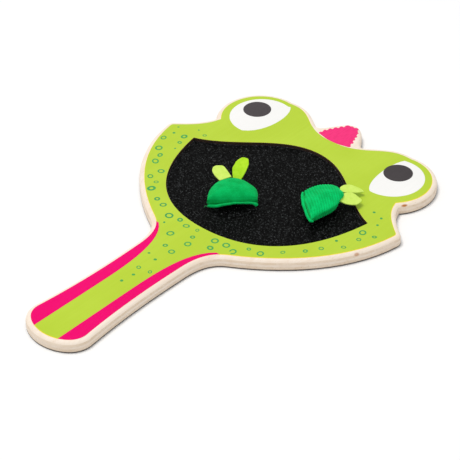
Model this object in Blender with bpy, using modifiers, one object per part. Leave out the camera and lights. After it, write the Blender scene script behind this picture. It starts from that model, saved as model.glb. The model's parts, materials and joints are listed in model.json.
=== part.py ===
"""Catching paddle in the shape of a frog's head, with two knit bean bags that stick to its mouth.

Units are metres and +Z is up. The origin lies on the underside, under the middle of the paddle's length:
the handle runs towards -Y and the head towards +Y.
"""

import math

import bmesh
import bpy
from mathutils import Matrix, Vector
from mathutils.geometry import interpolate_bezier

# Plywood
WOOD_THICKNESS = 0.0071
EDGE_RADIUS = 0.0029        # round-over along the front
BACK_EDGE_RADIUS = 0.0006   # along the back the edge is only broken
LAYER_GAP = 0.0002          # glue line between plies, and under a printed layer
PLIES = ("back_veneer", "cross_ply_back", "core_ply", "cross_ply_front", "front_veneer")
MOUTH_PLIES = 2             # plies that the mouth is cut through

# Outline of the head
EYE_X = 0.0540
EYE_Y = 0.1082
EYE_BUMP_RADIUS = 0.0292
BUMP_START = 97.0           # degrees on the bump's circle, where the brow meets it
BUMP_END = -41.7            # degrees, the notch between eye and cheek
CREST_TOP_Y = 0.1422
CREST_HALF_WIDTH = 0.0140
CREST_SHOULDER_Y = 0.1290
CREST_FOOT_X = 0.0215
CREST_FOOT_Y = 0.1263
CHEEK_X = 0.0892            # centre of the round cheek corner
CHEEK_Y = 0.0625
CHEEK_RADIUS = 0.0062
CHIN_X = 0.0317             # where the jaw turns into the neck
CHIN_Y = -0.0202

# Outline of the handle
NECK_HALF_WIDTH = 0.0201
NECK_Y = -0.0476
GRIP_HALF_WIDTH = 0.0228
GRIP_Y = -0.1247
HANDLE_END_Y = -0.1422

# Printed layers
PRINT_THICKNESS = 0.0002
PRINT_MARGIN = 0.0032       # bare wood between the print and the paddle's edge
PRINT_GAP = 0.0003          # between two colours side by side
BROW_Y = 0.1164             # lowest point of the green layer's upper edge
BROW_END_X = 0.0300
BROW_END_Y = 0.1286
WHITE_RIM = 0.0076          # green rim and bare wood between the white and the eye bump's edge
WHITE_RISE = 0.0013         # the white's centre above the eye's
WHITE_START = 105.0         # degrees where the white's round side starts
WHITE_END = -94.0
PUPIL_RADIUS = 0.0093
PUPIL_LEFT = (149.5, 0.0024)    # direction from the white's centre, and the clearance left to its edge
PUPIL_RIGHT = (90.0, 0.0058)    # both pupils look the same way
STRIPE_TIP_X = 0.0240
STRIPE_TIP_Y = -0.0212
STRIPE_BEND_Y = -0.0805     # below this the stripe's inner edge is nearly straight
GREEN_HALF_WIDTH = 0.0090   # half the green between the stripes

# Right half of the pink crest's ragged edge, then the left half, both upwards from the brow
CREST_RIGHT = (
    (0.0118, 0.1186), (0.0127, 0.1210), (0.0105, 0.1235), (0.0112, 0.1250), (0.0088, 0.1266),
    (0.0094, 0.1285), (0.0078, 0.1302), (0.0087, 0.1320), (0.0061, 0.1342), (0.0067, 0.1358),
    (0.0043, 0.1371), (0.0020, 0.1391),
)
CREST_LEFT = (
    (-0.0126, 0.1184), (-0.0134, 0.1206), (-0.0122, 0.1221), (-0.0134, 0.1243), (-0.0104, 0.1249),
    (-0.0117, 0.1283), (-0.0083, 0.1281), (-0.0089, 0.1324), (-0.0064, 0.1324), (-0.0045, 0.1318),
    (-0.0055, 0.1355), (-0.0020, 0.1384),
)

# Mouth and its fabric patch
MOUTH_X = 0.0010            # the mouth is cut a little to the right of the middle line
MOUTH_CORNER_X = 0.0716
MOUTH_CORNER_Y = 0.0614
MOUTH_TOP_Y = 0.1004
MOUTH_BOTTOM_Y = -0.0078
PATCH_CLEARANCE = 0.0008    # round the patch, inside the cut
ADHESIVE_THICKNESS = 0.0002
PATCH_THICKNESS = 0.0015

# Bean bags, in their own frame: the hem lies along X, the nose points to +Y, Z = 0 rests on the patch
BAG_WIDTH = 0.0312
BAG_HEIGHT = 0.0109
BAG_CROWN = 0.42            # how far the crown lies from the hem to the nose
BAG_TAPER = 2.3             # how long the sides stay apart before they close on the nose
BAG_FULLNESS = 2.5          # how steeply the panels rise from the seam
BASE_FLATNESS = 1.15        # above 1, the base panel lies flat in its middle
HEM_SPREAD = 120.0          # degrees of the ball that the straight hem takes up
UPRIGHT_SHARE = 1.03        # makes the panels leave the seam at right angles to it
SEAM_HEIGHT_HEM = 0.0040
SEAM_HEIGHT_NOSE = 0.0062
FABRIC_THICKNESS = 0.0010
SEWN_GAP = 0.0003
FILLING_CLEARANCE = 0.0005
HEM_RADIUS = 0.0009
LEAF_LENGTH = 0.0141
LEAF_HALF_WIDTH = 0.0046
LEAF_ROOT_HALF_WIDTH = 0.0027
LEAF_THICKNESS = 0.0010
BAG_SPOKES = 24
BAG_RINGS = 14

# Each bag's place on the patch, turn, length from hem to nose, how far its nose leans to the side, and
# the distance between the roots of its leaves.
# Each leaf: heading from the nose's direction, pitch up, and twist about its own length, in degrees.
BAGS = {
    "bag_left": {
        "x": -0.0001, "y": 0.0200, "turn": 42.5, "length": 0.0217, "lean": 0.0, "spacing": 0.0074,
        "leaves": {"leaf_left": (-30.0, 8.0, 0.0), "leaf_right": (22.0, 48.0, 0.0)},
    },
    "bag_right": {
        "x": 0.0365, "y": 0.0470, "turn": -39.0, "length": 0.0230, "lean": -0.32, "spacing": 0.0098,
        "leaves": {"leaf_left": (5.0, -8.0, 8.0), "leaf_right": (4.0, -8.0, 15.0)},
    },
}

PRINT_BOTTOM = WOOD_THICKNESS + LAYER_GAP
WHITE_RADIUS = EYE_BUMP_RADIUS - WHITE_RIM
PLY_PITCH = (WOOD_THICKNESS + LAYER_GAP) / len(PLIES)
PLY_THICKNESS = PLY_PITCH - LAYER_GAP
MOUTH_FLOOR = PLY_PITCH * (len(PLIES) - MOUTH_PLIES) - LAYER_GAP
ADHESIVE_BOTTOM = MOUTH_FLOOR + LAYER_GAP
PATCH_BOTTOM = ADHESIVE_BOTTOM + ADHESIVE_THICKNESS + LAYER_GAP
PATCH_TOP = PATCH_BOTTOM + PATCH_THICKNESS

COLOURS = {
    "wood": ((0.90, 0.78, 0.62), 0.60),
    "green": ((0.50, 0.67, 0.06), 0.45),
    "pink": ((0.88, 0.01, 0.18), 0.45),
    "white": ((0.93, 0.93, 0.90), 0.45),
    "charcoal": ((0.07, 0.06, 0.065), 0.45),
    "adhesive": ((0.70, 0.62, 0.40), 0.50),
    "hook_fabric": ((0.012, 0.012, 0.013), 0.85),
    "knit": ((0.004, 0.42, 0.09), 0.90),
    "filling": ((0.85, 0.85, 0.83), 0.95),
    "felt": ((0.60, 0.85, 0.10), 0.90),
}


def clear_scene():
    for thing in list(bpy.data.objects):
        bpy.data.objects.remove(thing)


def new_collection(name):
    collection = bpy.data.collections.new(name)
    bpy.context.scene.collection.children.link(collection)
    return collection


def material(name):
    """The named finish as a Principled material, made once."""
    found = bpy.data.materials.get(name)
    if found:
        return found
    colour, roughness = COLOURS[name]
    made = bpy.data.materials.new(name)
    made.use_nodes = True
    shader = made.node_tree.nodes["Principled BSDF"]
    shader.inputs["Base Color"].default_value = (*colour, 1.0)
    shader.inputs["Roughness"].default_value = roughness
    shader.inputs["Metallic"].default_value = 0.0
    made.diffuse_color = (*colour, 1.0)
    return made


def add_object(name, mesh, finish, collection):
    made = bpy.data.objects.new(name, mesh)
    mesh.materials.clear()
    mesh.materials.append(material(finish))
    collection.objects.link(made)
    return made


def on_circle(centre, radius, degrees):
    angle = math.radians(degrees)
    return Vector((centre[0] + radius * math.cos(angle), centre[1] + radius * math.sin(angle)))


def arc(centre, radius, start, end, steps):
    """Points on a circle from one angle to another, both in degrees."""
    return [on_circle(centre, radius, start + (end - start) * i / steps) for i in range(steps + 1)]


def sweep(start, start_pull, end_pull, end, steps):
    """Points along a cubic curve whose handles are given as pulls away from its two ends."""
    start, end = Vector(start), Vector(end)
    flat = interpolate_bezier(start, start + Vector(start_pull), end + Vector(end_pull), end, steps + 1)
    return [point.to_2d() for point in flat]


def join(*stretches):
    """One run of points from stretches that start where the last one ends."""
    points = list(stretches[0])
    for stretch in stretches[1:]:
        points += stretch[1:]
    return points


def mirrored(half):
    """A closed outline from its right half, whose first and last point lie on the middle line."""
    left = [Vector((-point.x, point.y)) for point in reversed(half[1:-1])]
    return list(half) + left


def paddle_outline():
    """The wooden edge: crest, brow, eye bump, cheek, jaw, neck and handle."""
    eye = (EYE_X, EYE_Y)
    cheek = (CHEEK_X, CHEEK_Y)
    shoulder = (CREST_HALF_WIDTH, CREST_SHOULDER_Y)
    foot = (CREST_FOOT_X, CREST_FOOT_Y)
    neck = (NECK_HALF_WIDTH, NECK_Y)
    grip = (GRIP_HALF_WIDTH, GRIP_Y)
    bump = arc(eye, EYE_BUMP_RADIUS, BUMP_START, BUMP_END, 15)
    corner = arc(cheek, CHEEK_RADIUS, 51.0, -9.3, 4)
    half = join(
        sweep((0.0, CREST_TOP_Y), (0.0058, 0.0), (-0.0035, 0.0054), shoulder, 5),
        sweep(shoulder, (0.0022, -0.0034), (-0.0035, -0.0027), foot, 4),
        sweep(foot, (0.0094, 0.0066), (-0.0134, 0.0016), bump[0], 6),
        bump,
        sweep(bump[-1], (0.0021, -0.0077), (-0.0105, 0.0085), corner[0], 5),
        corner,
        sweep(corner[-1], (-0.0060, -0.0370), (0.0304, 0.0173), (CHIN_X, CHIN_Y), 10),
        sweep((CHIN_X, CHIN_Y), (-0.0087, -0.0050), (0.0, 0.0140), neck, 5),
        sweep(neck, (-0.0008, -0.0256), (-0.0029, 0.0259), grip, 4),
        sweep(grip, (0.0002, -0.0120), (0.0098, 0.0), (0.0, HANDLE_END_Y), 6),
    )
    return mirrored(half)


def mouth_outline():
    corner = (MOUTH_CORNER_X, MOUTH_CORNER_Y)
    upper = sweep((0.0, MOUTH_TOP_Y), (0.0290, 0.0), (-0.0268, 0.0080), corner, 12)
    lower = sweep(corner, (-0.0071, -0.0395), (0.0441, 0.0), (0.0, MOUTH_BOTTOM_Y), 14)
    shift = Vector((MOUTH_X, 0.0))
    return [point + shift for point in mirrored(join(upper, lower))]


def white_outline(side):
    """The printed white of one eye: a round side, and a flatter one towards the nose."""
    centre = (EYE_X, EYE_Y + WHITE_RISE)
    outer = arc(centre, WHITE_RADIUS, WHITE_START, WHITE_END, 16)
    inner = sweep(outer[-1], (-0.0136, 0.0075), (-0.0085, -0.0076), outer[0], 8)
    points = join(outer, inner)[:-1]
    return [Vector((side * point.x, point.y)) for point in points]


def pupil_outline(side):
    direction, clearance = PUPIL_LEFT if side < 0 else PUPIL_RIGHT
    white = (side * EYE_X, EYE_Y + WHITE_RISE)
    centre = on_circle(white, WHITE_RADIUS - PUPIL_RADIUS - clearance, direction)
    return arc(centre, PUPIL_RADIUS, 0.0, 360.0, 24)[:-1]


def stripe_outline(side):
    """Area of one stripe: its inner edge as printed, its outer side well outside the handle."""
    outside_x = STRIPE_TIP_X + GRIP_HALF_WIDTH
    tip = (STRIPE_TIP_X, STRIPE_TIP_Y)
    bend = (GREEN_HALF_WIDTH, STRIPE_BEND_Y)
    end = (GREEN_HALF_WIDTH + 0.0003, HANDLE_END_Y - EDGE_RADIUS)
    inner = join(
        sweep(tip, (-0.0144, -0.0110), (0.0, 0.0168), bend, 10),
        sweep(bend, (0.0, -0.0186), (0.0, 0.0185), end, 3),
    )
    points = inner + [Vector((outside_x, end[1])), Vector((outside_x, STRIPE_TIP_Y))]
    return [Vector((side * point.x, point.y)) for point in points]


def brow_outline():
    """Area above the green layer's upper edge, between the eyes."""
    edge = sweep((0.0, BROW_Y), (0.0135, 0.0), (-0.0099, -0.0079), (BROW_END_X, BROW_END_Y), 7)
    beyond = Vector((BROW_END_X, CREST_TOP_Y + EDGE_RADIUS))
    return mirrored(edge + [beyond, Vector((0.0, beyond.y))])


def crest_outline():
    edge = sweep((0.0, BROW_Y), (0.0050, 0.0), (-0.0040, -0.0008), CREST_RIGHT[0], 3)
    back = sweep(CREST_LEFT[0], (0.0040, -0.0008), (-0.0050, 0.0), (0.0, BROW_Y), 3)
    ragged = [Vector(point) for point in CREST_RIGHT[1:] + CREST_LEFT[::-1]]
    raised = Vector((0.0, PRINT_GAP))
    return [point + raised for point in edge] + ragged + [point + raised for point in back[1:-1]]


def flat_mesh(name, outline, bottom, thickness, grow=0.0, edge=0.0):
    """A flat piece as a closed mesh, grown sideways, with an optional round-over along both faces."""
    curve = bpy.data.curves.new(name, "CURVE")
    curve.dimensions = "2D"
    curve.fill_mode = "BOTH"
    curve.extrude = thickness / 2 - edge
    curve.bevel_depth = edge
    curve.bevel_resolution = 1
    curve.offset = grow - edge
    spline = curve.splines.new("POLY")
    spline.use_cyclic_u = True
    spline.points.add(len(outline) - 1)
    for point, place in zip(spline.points, outline):
        point.co = (place.x, place.y, 0.0, 1.0)
    drawn = bpy.data.objects.new(name, curve)
    bpy.context.scene.collection.objects.link(drawn)
    graph = bpy.context.evaluated_depsgraph_get()
    mesh = bpy.data.meshes.new_from_object(drawn.evaluated_get(graph))
    bpy.data.objects.remove(drawn)
    bpy.data.curves.remove(curve)
    mesh.transform(Matrix.Translation((0.0, 0.0, bottom + thickness / 2)))
    solid = bmesh.new()
    solid.from_mesh(mesh)
    bmesh.ops.remove_doubles(solid, verts=solid.verts, dist=0.00001)
    bmesh.ops.recalc_face_normals(solid, faces=solid.faces)
    solid.to_mesh(mesh)
    solid.free()
    mesh.name = name
    return mesh


def slice_between(mesh, low, high):
    """Keep what lies between two heights of a closed mesh, and cap both cuts."""
    solid = bmesh.new()
    solid.from_mesh(mesh)
    for height, direction in ((low, -1.0), (high, 1.0)):
        everything = solid.verts[:] + solid.edges[:] + solid.faces[:]
        cut = bmesh.ops.bisect_plane(
            solid, geom=everything, dist=0.000001, plane_co=(0.0, 0.0, height),
            plane_no=(0.0, 0.0, direction), clear_outer=True,
        )
        rim = [item for item in cut["geom_cut"] if isinstance(item, bmesh.types.BMEdge)]
        open_rim = [edge for edge in rim if edge.is_boundary]
        if open_rim:
            bmesh.ops.contextual_create(solid, geom=open_rim)
    bmesh.ops.recalc_face_normals(solid, faces=solid.faces)
    sliced = mesh.copy()
    solid.to_mesh(sliced)
    solid.free()
    return sliced


def cutter(name, outline, cutters, grow=0.0):
    """A tall prism through the front of the paddle, kept out of the model."""
    mesh = flat_mesh(name, outline, MOUTH_FLOOR + LAYER_GAP / 2, WOOD_THICKNESS, grow)
    made = bpy.data.objects.new(name, mesh)
    cutters.objects.link(made)
    made.hide_render = True
    made.display_type = "WIRE"
    return made


def trim(piece, tool, operation="DIFFERENCE"):
    step = piece.modifiers.new(tool.name, "BOOLEAN")
    step.operation = operation
    step.solver = "EXACT"
    step.object = tool
    return piece


def build_plies(parts, cutters):
    outline = paddle_outline()
    rounded = flat_mesh("rounded_board", outline, 0.0, WOOD_THICKNESS, edge=EDGE_RADIUS)
    square = flat_mesh("square_board", outline, 0.0, WOOD_THICKNESS, edge=BACK_EDGE_RADIUS)
    mouth = cutter("mouth_cut", mouth_outline(), cutters)
    for index, name in enumerate(PLIES):
        low = index * PLY_PITCH
        board = square if index < 2 else rounded
        ply = add_object(name, slice_between(board, low, low + PLY_THICKNESS), "wood", parts)
        if index >= len(PLIES) - MOUTH_PLIES:
            trim(ply, mouth)
    bpy.data.meshes.remove(rounded)
    bpy.data.meshes.remove(square)


def print_layer(name, outline, finish, parts, grow=0.0):
    mesh = flat_mesh(name, outline, PRINT_BOTTOM, PRINT_THICKNESS, grow)
    return add_object(name, mesh, finish, parts)


def build_print(parts, cutters):
    """The printed colours, side by side in one layer on the front veneer."""
    outline = paddle_outline()
    green = print_layer("green_print", outline, "green", parts, grow=-PRINT_MARGIN)
    trim(green, cutter("mouth_in_print", mouth_outline(), cutters, grow=PRINT_GAP))
    trim(green, cutter("brow_in_print", brow_outline(), cutters))
    print_layer("crest_print", crest_outline(), "pink", parts)
    for side, label in ((-1, "left"), (1, "right")):
        white = print_layer("eye_white_" + label, white_outline(side), "white", parts)
        pupil = cutter("pupil_hole_" + label, pupil_outline(side), cutters, grow=PRINT_GAP)
        trim(white, pupil)
        print_layer("pupil_" + label, pupil_outline(side), "charcoal", parts)
        trim(green, cutter("white_hole_" + label, white_outline(side), cutters, grow=PRINT_GAP))
        stripe = print_layer("handle_stripe_" + label, outline, "pink", parts, grow=-PRINT_MARGIN)
        trim(stripe, cutter("stripe_area_" + label, stripe_outline(side), cutters), "INTERSECT")
        trim(green, cutter("stripe_hole_" + label, stripe_outline(side), cutters, grow=PRINT_GAP))


def build_patch(parts):
    outline = mouth_outline()
    glue = flat_mesh("patch_adhesive", outline, ADHESIVE_BOTTOM, ADHESIVE_THICKNESS, -PATCH_CLEARANCE)
    add_object("patch_adhesive", glue, "adhesive", parts)
    hooks = flat_mesh("hook_patch", outline, PATCH_BOTTOM, PATCH_THICKNESS, -PATCH_CLEARANCE)
    add_object("hook_patch", hooks, "hook_fabric", parts)


def nose_edge(x, length):
    """How far from the hem the side seam lies, at a place across the bag."""
    return length * max(1.0 - (2 * x / BAG_WIDTH) ** 2, 0.0) ** (1 / BAG_TAPER)


def rim_point(angle, length):
    """The point of the D-shaped rim that belongs to an angle of the ball it is shaped from."""
    turned = (math.degrees(angle) + 90.0 + HEM_SPREAD / 2) % 360.0
    if turned <= HEM_SPREAD:
        return Vector((BAG_WIDTH * (turned / HEM_SPREAD - 0.5), 0.0))
    x = BAG_WIDTH / 2 * math.cos(math.pi * (turned - HEM_SPREAD) / (360.0 - HEM_SPREAD))
    return Vector((x, nose_edge(x, length)))


def seam_height(y, length):
    share = min(max(y / length, 0.0), 1.0)
    return SEAM_HEIGHT_HEM + (SEAM_HEIGHT_NOSE - SEAM_HEIGHT_HEM) * share


def bag_surface(mesh, bag, upper, lower, inset=0.0):
    """Shape a unit sphere's mesh into the bag: D-shaped in plan, domed above, flattened below."""
    length = bag["length"]
    crown = Vector((0.0, BAG_CROWN * length))
    for vertex in mesh.verts:
        spread = min(math.hypot(vertex.co.x, vertex.co.y), 1.0)
        spoke = rim_point(math.atan2(vertex.co.y, vertex.co.x), length) - crown
        spoke *= 1.0 - 2 * inset / spoke.length
        x, y = crown + spoke * min(spread * UPRIGHT_SHARE, 1.0)
        swell = math.sqrt(max(1.0 - spread ** BAG_FULLNESS, 0.0))
        seam = seam_height(y, length)
        if vertex.co.z >= 0.0:
            z = seam + upper + (BAG_HEIGHT - inset - upper - seam) * swell
        else:
            z = (seam - lower) - (seam - lower - inset) * min(BASE_FLATNESS * swell, 1.0)
        vertex.co = (x + bag["lean"] * y, y, z)


def sphere_mesh():
    ball = bmesh.new()
    bmesh.ops.create_uvsphere(ball, u_segments=BAG_SPOKES, v_segments=BAG_RINGS, radius=1.0)
    for vertex in ball.verts:
        if abs(vertex.co.z) < 0.0001:
            vertex.co.z = 0.0
    return ball


def panel_mesh(name, bag, top):
    """One knit panel: half of the ball, opened at the side seam."""
    ball = sphere_mesh()
    if top:
        spare = [vertex for vertex in ball.verts if vertex.co.z < 0.0]
    else:
        spare = [vertex for vertex in ball.verts if vertex.co.z > 0.0]
        for vertex in ball.verts:
            if vertex.co.z == 0.0:
                vertex.co.z = -0.00001
    bmesh.ops.delete(ball, geom=spare, context="VERTS")
    bag_surface(ball, bag, SEWN_GAP / 2, SEWN_GAP / 2)
    mesh = bpy.data.meshes.new(name)
    ball.to_mesh(mesh)
    ball.free()
    return mesh


def thicken(piece):
    """Give a panel its fabric thickness, inwards."""
    wall = piece.modifiers.new("fabric", "SOLIDIFY")
    wall.thickness = FABRIC_THICKNESS
    wall.offset = -1.0
    return piece


def hem_mesh(name, bag):
    """The closed hem as a roll along the bag's straight side."""
    length = bag["length"]
    curve = bpy.data.curves.new(name, "CURVE")
    curve.dimensions = "3D"
    curve.bevel_depth = HEM_RADIUS
    curve.bevel_resolution = 2
    curve.use_fill_caps = True
    spline = curve.splines.new("POLY")
    steps = 6
    spline.points.add(steps)
    y = -HEM_RADIUS - SEWN_GAP
    for index, point in enumerate(spline.points):
        x = BAG_WIDTH * (index / steps - 0.5)
        point.co = (x, y, seam_height(0.0, length), 1.0)
    drawn = bpy.data.objects.new(name, curve)
    bpy.context.scene.collection.objects.link(drawn)
    graph = bpy.context.evaluated_depsgraph_get()
    mesh = bpy.data.meshes.new_from_object(drawn.evaluated_get(graph))
    bpy.data.objects.remove(drawn)
    bpy.data.curves.remove(curve)
    tube = bmesh.new()
    tube.from_mesh(mesh)
    bmesh.ops.remove_doubles(tube, verts=tube.verts, dist=0.00001)
    bmesh.ops.recalc_face_normals(tube, faces=tube.faces)
    tube.to_mesh(mesh)
    tube.free()
    return mesh


def leaf_outline():
    """A pointed oval from its root at Y = 0 to its tip."""
    tip = (0.0, LEAF_LENGTH)
    widest = (LEAF_HALF_WIDTH, LEAF_LENGTH * 0.58)
    root = (LEAF_ROOT_HALF_WIDTH, 0.0)
    half = join(
        sweep(tip, (0.0026, 0.0), (0.0, 0.0036), widest, 5),
        sweep(widest, (0.0, -0.0036), (0.0004, 0.0022), root, 4),
    )
    return mirrored(half + [Vector((0.0, 0.0))])


def leaf_root(bag, side, heading):
    """Where a leaf's root lies in the bag's frame: just clear of the seam, all along the root's width."""
    length, lean = bag["length"], bag["lean"]
    x = side * bag["spacing"] / 2
    y = nose_edge(x, length)
    along = Vector((math.sin(heading), math.cos(heading)))
    across = Vector((math.cos(heading), -math.sin(heading))) * LEAF_ROOT_HALF_WIDTH
    root = Vector((x + lean * y, y)) - along * BAG_WIDTH / 4
    edge = [root + across * share for share in (-1.0, -0.5, 0.0, 0.5, 1.0)]
    reach = max(way_out(point, along, length, lean) for point in edge)
    root += along * (reach + SEWN_GAP + LEAF_THICKNESS / 2)
    return Vector((*root, seam_height(y, length)))


def way_out(point, along, length, lean):
    """How far a point inside the seam has to go in one direction until it crosses the seam."""
    inside, outside = 0.0, BAG_WIDTH
    while outside - inside > 0.000001:
        middle = (inside + outside) / 2
        place = point + along * middle
        if place.y < nose_edge(place.x - lean * place.y, length):
            inside = middle
        else:
            outside = middle
    return outside


def build_leaf(name, bag, side, pose, frame, parts):
    """A felt leaf whose origin lies on the axis that it bends about."""
    heading, pitch, twist = (math.radians(value) for value in pose)
    mesh = flat_mesh(name, leaf_outline(), -LEAF_THICKNESS / 2, LEAF_THICKNESS)
    leaf = add_object(name, mesh, "felt", parts)
    leaf.parent = frame
    turn = Matrix.Rotation(-heading, 4, "Z") @ Matrix.Rotation(pitch, 4, "X") @ Matrix.Rotation(twist, 4, "Y")
    leaf.matrix_local = Matrix.Translation(leaf_root(bag, side, heading)) @ turn
    return leaf


def build_bag(label, bag, parts):
    """One bean bag, its pieces parented to an empty where the hem's middle meets the patch."""
    frame = bpy.data.objects.new(label, None)
    parts.objects.link(frame)
    frame.location = (bag["x"], bag["y"], PATCH_TOP + SEWN_GAP)
    frame.rotation_euler = (0.0, 0.0, math.radians(bag["turn"]))
    top = add_object(label + "_top_panel", panel_mesh(label + "_top_panel", bag, True), "knit", parts)
    base = add_object(label + "_base_panel", panel_mesh(label + "_base_panel", bag, False), "knit", parts)
    thicken(top).parent = frame
    thicken(base).parent = frame
    stuffing = sphere_mesh()
    bag_surface(stuffing, bag, 0.0, 0.0, inset=FABRIC_THICKNESS + FILLING_CLEARANCE)
    mesh = bpy.data.meshes.new(label + "_filling")
    stuffing.to_mesh(mesh)
    stuffing.free()
    add_object(label + "_filling", mesh, "filling", parts).parent = frame
    add_object(label + "_hem", hem_mesh(label + "_hem", bag), "knit", parts).parent = frame
    for side, name in ((-1, "leaf_left"), (1, "leaf_right")):
        build_leaf(label + "_" + name, bag, side, bag["leaves"][name], frame, parts)


def main():
    clear_scene()
    parts = new_collection("catch_ball_game")
    cutters = new_collection("cutters")
    build_plies(parts, cutters)
    build_print(parts, cutters)
    build_patch(parts)
    for label, bag in BAGS.items():
        build_bag(label, bag, parts)
    for piece in parts.objects:
        if piece.type == "MESH" and piece.name.startswith("bag"):
            piece.data.shade_smooth()
            piece.data.set_sharp_from_angle(angle=math.radians(50.0))


main()
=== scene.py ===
"""Looks of the catch ball game: a printed plywood bat in the shape of a frog's head, with a mouth of black hook
fabric, and two small bean bags of green knit with felt leaves that stick to it.

Lengths are metres and +Z is up. The bat lies on its back at z = 0, its handle towards -Y.
The outlines are drawn in millimetres, as strokes: where a stroke starts, how its curve is pulled away from
its start and from its end, and where it ends.
"""

import json
import math
import random
from contextlib import contextmanager

import bpy
from mathutils import Matrix, Vector, noise
from mathutils.geometry import interpolate_bezier

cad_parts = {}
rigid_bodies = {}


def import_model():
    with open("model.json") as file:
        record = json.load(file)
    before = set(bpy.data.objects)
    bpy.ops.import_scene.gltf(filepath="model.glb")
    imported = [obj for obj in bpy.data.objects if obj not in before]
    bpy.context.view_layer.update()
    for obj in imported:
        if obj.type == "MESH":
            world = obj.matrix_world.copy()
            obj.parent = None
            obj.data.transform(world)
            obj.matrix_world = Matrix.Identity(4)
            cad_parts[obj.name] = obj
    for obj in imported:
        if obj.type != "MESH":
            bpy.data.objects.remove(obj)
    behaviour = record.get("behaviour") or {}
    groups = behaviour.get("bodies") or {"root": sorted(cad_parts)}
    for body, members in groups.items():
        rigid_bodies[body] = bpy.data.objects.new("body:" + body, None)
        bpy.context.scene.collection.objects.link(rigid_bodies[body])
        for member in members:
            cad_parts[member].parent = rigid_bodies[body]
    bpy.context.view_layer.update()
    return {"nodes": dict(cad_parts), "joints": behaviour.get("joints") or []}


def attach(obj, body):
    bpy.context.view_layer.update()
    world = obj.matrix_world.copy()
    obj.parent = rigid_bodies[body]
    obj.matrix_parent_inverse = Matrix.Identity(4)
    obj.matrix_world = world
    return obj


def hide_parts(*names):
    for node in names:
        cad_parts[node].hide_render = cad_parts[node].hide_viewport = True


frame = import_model()

# Heights in the board, upwards from the table
PLY = 0.00146
WOOD_TOP = 5 * PLY
EDGE_ROUND = 0.0029
BACK_ROUND = 0.0006         # along the back the edge is only broken
GLUE_LINE = 0.00005
MOUTH_FLOOR = 3 * PLY
UNDERCOAT_TOP = WOOD_TOP + 0.000035
GREEN_TOP = UNDERCOAT_TOP + 0.00005
PINK_TOP = UNDERCOAT_TOP + 0.00006
WHITE_TOP = GREEN_TOP + 0.00004
PUPIL_TOP = WHITE_TOP + 0.00003
SPOT_TOP = GREEN_TOP + 0.00002

# Print and patch, measured inwards from the edge that they follow
UNDERCOAT_INSET = 0.0031
UNDERCOAT_SHIFT = Vector((0.22, -0.22))     # millimetres: out of line with the green, so it shows on one side
INK_INSET = 0.0034
STRIPE_INSET = 0.0031
STRIPE_OVERLAP = 0.0004     # the pink is printed over the green by this much
MOUTH_MARGIN = 0.00006
UNDERCOAT_MARGIN = 0.4 * MOUTH_MARGIN
PATCH_CLEARANCE = 0.0008
PATCH_ROUND = 0.0002
RIM_RADIUS = 0.00014        # the fabric's cut edge is a fine bead
RIM_INSET = PATCH_CLEARANCE + 0.0001
MOUTH_SHIFT = Vector((1.0, 0.0))    # millimetres: the mouth is cut a little to the right
STRIPE_SHIFT = Vector((0.8, 0.0))   # and the handle's stripes are printed a little to the right
BACKING_BOTTOM = 0.00478
BACKING_TOP = 0.00545

# Knots that show in the edge: where, which way they are drawn out, how far along, across and up, and how strong
KNOTS = (
    ((0.0773, 0.0918, 0.0063), math.radians(54.0), (0.0026, 0.0014, 0.0009), 1.0),
    ((0.0860, 0.0340, 0.0060), math.radians(63.0), (0.0022, 0.0018, 0.0013), 0.65),
)

# The foot of the back's edge carries a painted shadow where the bat meets the table: black up to the first
# height, bare wood from the second
SHADOW_PAINTED_TO = 0.0008
SHADOW_GONE_FROM = 0.0013

# Hooks of the patch
HOOK_PITCH = 0.0013
HOOK_SCATTER = 0.45         # share of the pitch
HOOKS_IN_TUFT = 5           # in a row, and as many rows
TUFT_ROWS = 11              # on either side of the middle one
TUFT_COLUMNS = 13
HOOK_WIRE = 0.0001
HOOK_SHANK = 0.0005
HOOK_BEND = 0.0002
PATCH_MIDDLE = Vector((0.0, 0.0463, 0.0))
PATCH_TURN = math.radians(19.0)     # the fabric was cut askew

# Printed ring spots
SPOT_SPACING = 6.9          # millimetres, like the drawings
SPOT_TRIES = 1400
SPOT_STEPS = (0.7548776662, 0.5698402910)   # inverse powers of the plastic number spread points evenly
SPOT_RADIUS = 0.0023
SPOT_LINE = 0.00095

# Bean bags
BAG_REST = 0.00658          # the bags' undersides, half a millimetre above the hooks
BAG_WIDTH = 0.0312
BAG_HEIGHT = 0.0109
SEAM_HEIGHT_HEM = 0.0040
SEAM_HEIGHT_NOSE = 0.0062
CLOTH_SCALE = 10.0          # the cloth is blown up at ten times its size
CLOTH_VOXEL = 0.00063
STUFFING_SWELL = 0.0005
STUFFING_PRESSURE = 4.0
STUFFING_FRAMES = 20
SEAM_HELD = 0.0004          # the cloth is held this near to its seam
SEAM_REACH = 0.0016         # and drawn in this near to it
SEAM_DEPTH = 0.0003
PUCKER_DEPTH = 0.0001
PUCKER_PITCH = 0.0022
RIB_PITCH = 0.00165
STITCH_PITCH = 0.00055
STITCH_WIDTH = 0.00045
HEM_RADIUS = 0.00085
HEM_VOXEL = 0.00022
OVERLOCK_TURNS = 22
OVERLOCK_RISE = 0.00075
OVERLOCK_RADIUS = 0.00011
FELT_THICKNESS = 0.0009
FELT_ROUND = 0.00018
FELT_VOXEL = 0.00025
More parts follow.
